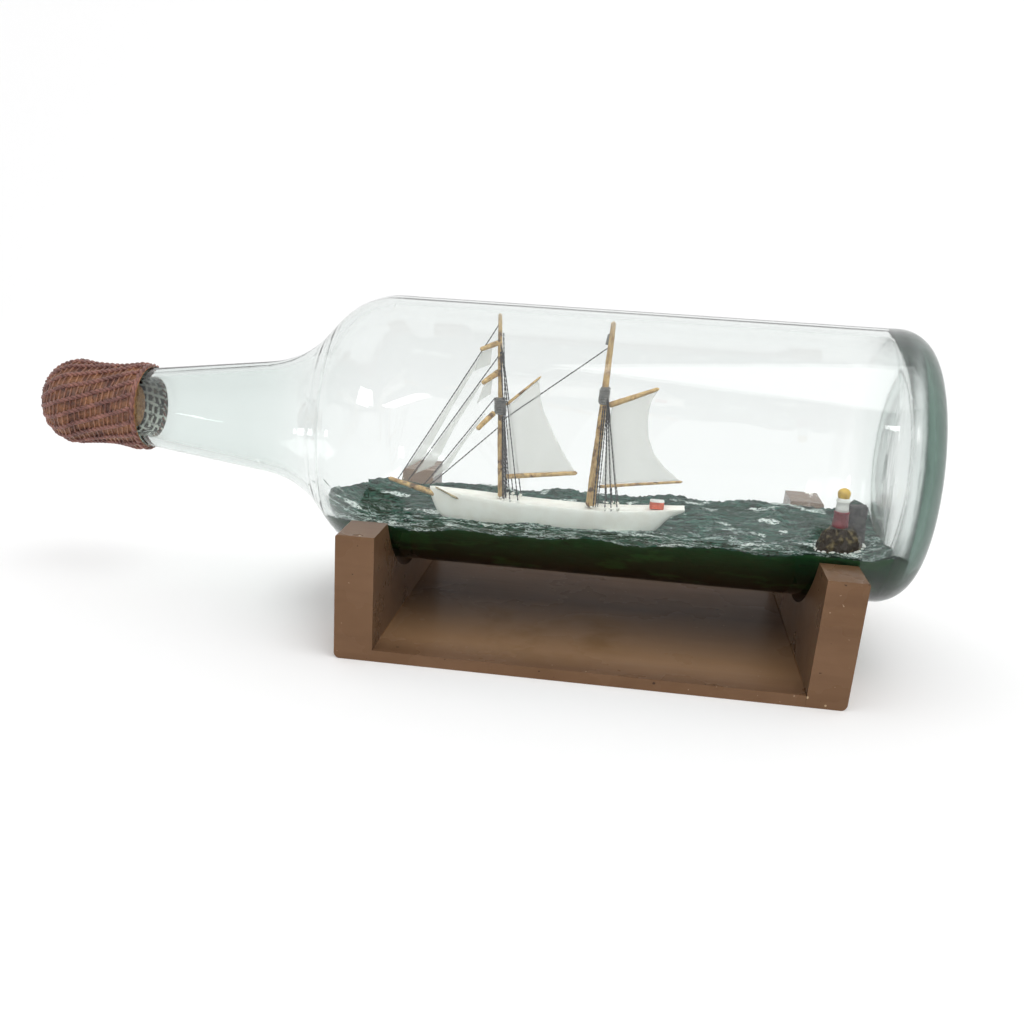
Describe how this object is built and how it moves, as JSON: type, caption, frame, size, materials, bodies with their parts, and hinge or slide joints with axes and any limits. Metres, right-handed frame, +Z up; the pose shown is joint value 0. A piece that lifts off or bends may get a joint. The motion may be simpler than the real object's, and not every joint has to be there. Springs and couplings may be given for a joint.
{
  "type": "ship in a bottle",
  "caption": "Glass spirits bottle lying on a notched wooden stand, holding a rigged two-masted model ship, a putty sea and a lighthouse, its mouth corked under a knotted cord cover.",
  "frame": {"origin": "centre of the stand's foot, on the surface it rests on", "axes": "+X along the bottle from its mouth to its base, +Z up; the ship's bow points to -X and +Y is behind the ship"},
  "size_m": [0.3192, 0.1176, 0.1154],
  "materials": {
    "stand_paint": "brown painted wood, worn edges",
    "bright_steel": "plain wire brads",
    "bottle_glass": "clear, faint green at the base",
    "cork": "plain cork",
    "cord": "brown knotted cord",
    "putty": "green painted putty with pale crests",
    "hull_paint": "cream painted wood",
    "orange_paint": "orange-red painted wood",
    "spar_wood": "plain pale wood",
    "dark_thread": "dark thread",
    "grey_thread": "grey thread",
    "sail_paper": "thin white paper",
    "pin_wire": "fine brass wire",
    "rock": "dark painted putty rock",
    "red_paint": "red painted dowel",
    "white_paint": "white painted dowel",
    "yellow_paint": "yellow painted dowel"
  },
  "bodies": {
    "stand": {"stand_plank": "stand_paint", "stand_upright_neck_end": "stand_paint", "stand_upright_base_end": "stand_paint", "stand_brads": "bright_steel"},
    "closure": {"cork_stopper": "cork", "cord_cover": "cord"},
    "bottle": {"bottle_glass": "bottle_glass", "sea_putty": "putty", "hull": "hull_paint", "deckhouse": "orange_paint", "bowsprit": "spar_wood", "pull_thread_tail": "dark_thread", "fore_mast": "spar_wood", "fore_mast_lashing": "grey_thread", "fore_mast_hinge_pin": "pin_wire", "main_mast": "spar_wood", "main_mast_lashing": "grey_thread", "main_mast_hinge_pin": "pin_wire", "yard_course": "spar_wood", "yard_topsail": "spar_wood", "yard_topgallant": "spar_wood", "topsail": "sail_paper", "topgallant_sail": "sail_paper", "fore_gaff": "spar_wood", "fore_boom": "spar_wood", "fore_sail": "sail_paper", "main_gaff": "spar_wood", "main_boom": "spar_wood", "main_sail": "sail_paper", "flying_jib": "sail_paper", "outer_jib": "sail_paper", "inner_jib": "sail_paper", "topgallant_stay": "dark_thread", "topmast_stay": "dark_thread", "jib_stay": "dark_thread", "fore_stay": "dark_thread", "main_topmast_stay": "dark_thread", "fore_shrouds_port": "dark_thread", "fore_shrouds_starboard": "dark_thread", "main_shrouds_port": "dark_thread", "main_shrouds_starboard": "dark_thread", "pennant": "grey_thread", "fore_halyards": "dark_thread", "main_halyards": "dark_thread", "lighthouse_rock": "rock", "lighthouse_red_base": "red_paint", "lighthouse_white_tower": "white_paint", "lighthouse_lantern_dome": "yellow_paint", "harbour_block": "rock"}
  },
  "joints": [
    {"name": "bottle_lift", "type": "slide", "parent": "stand", "child": "bottle", "axis": [0, 0, 1], "range_m": [0, 0.06]},
    {"name": "closure_pull", "type": "slide", "parent": "bottle", "child": "closure", "axis": [-1, 0, 0], "range_m": [0, 0.06]}
  ]
}
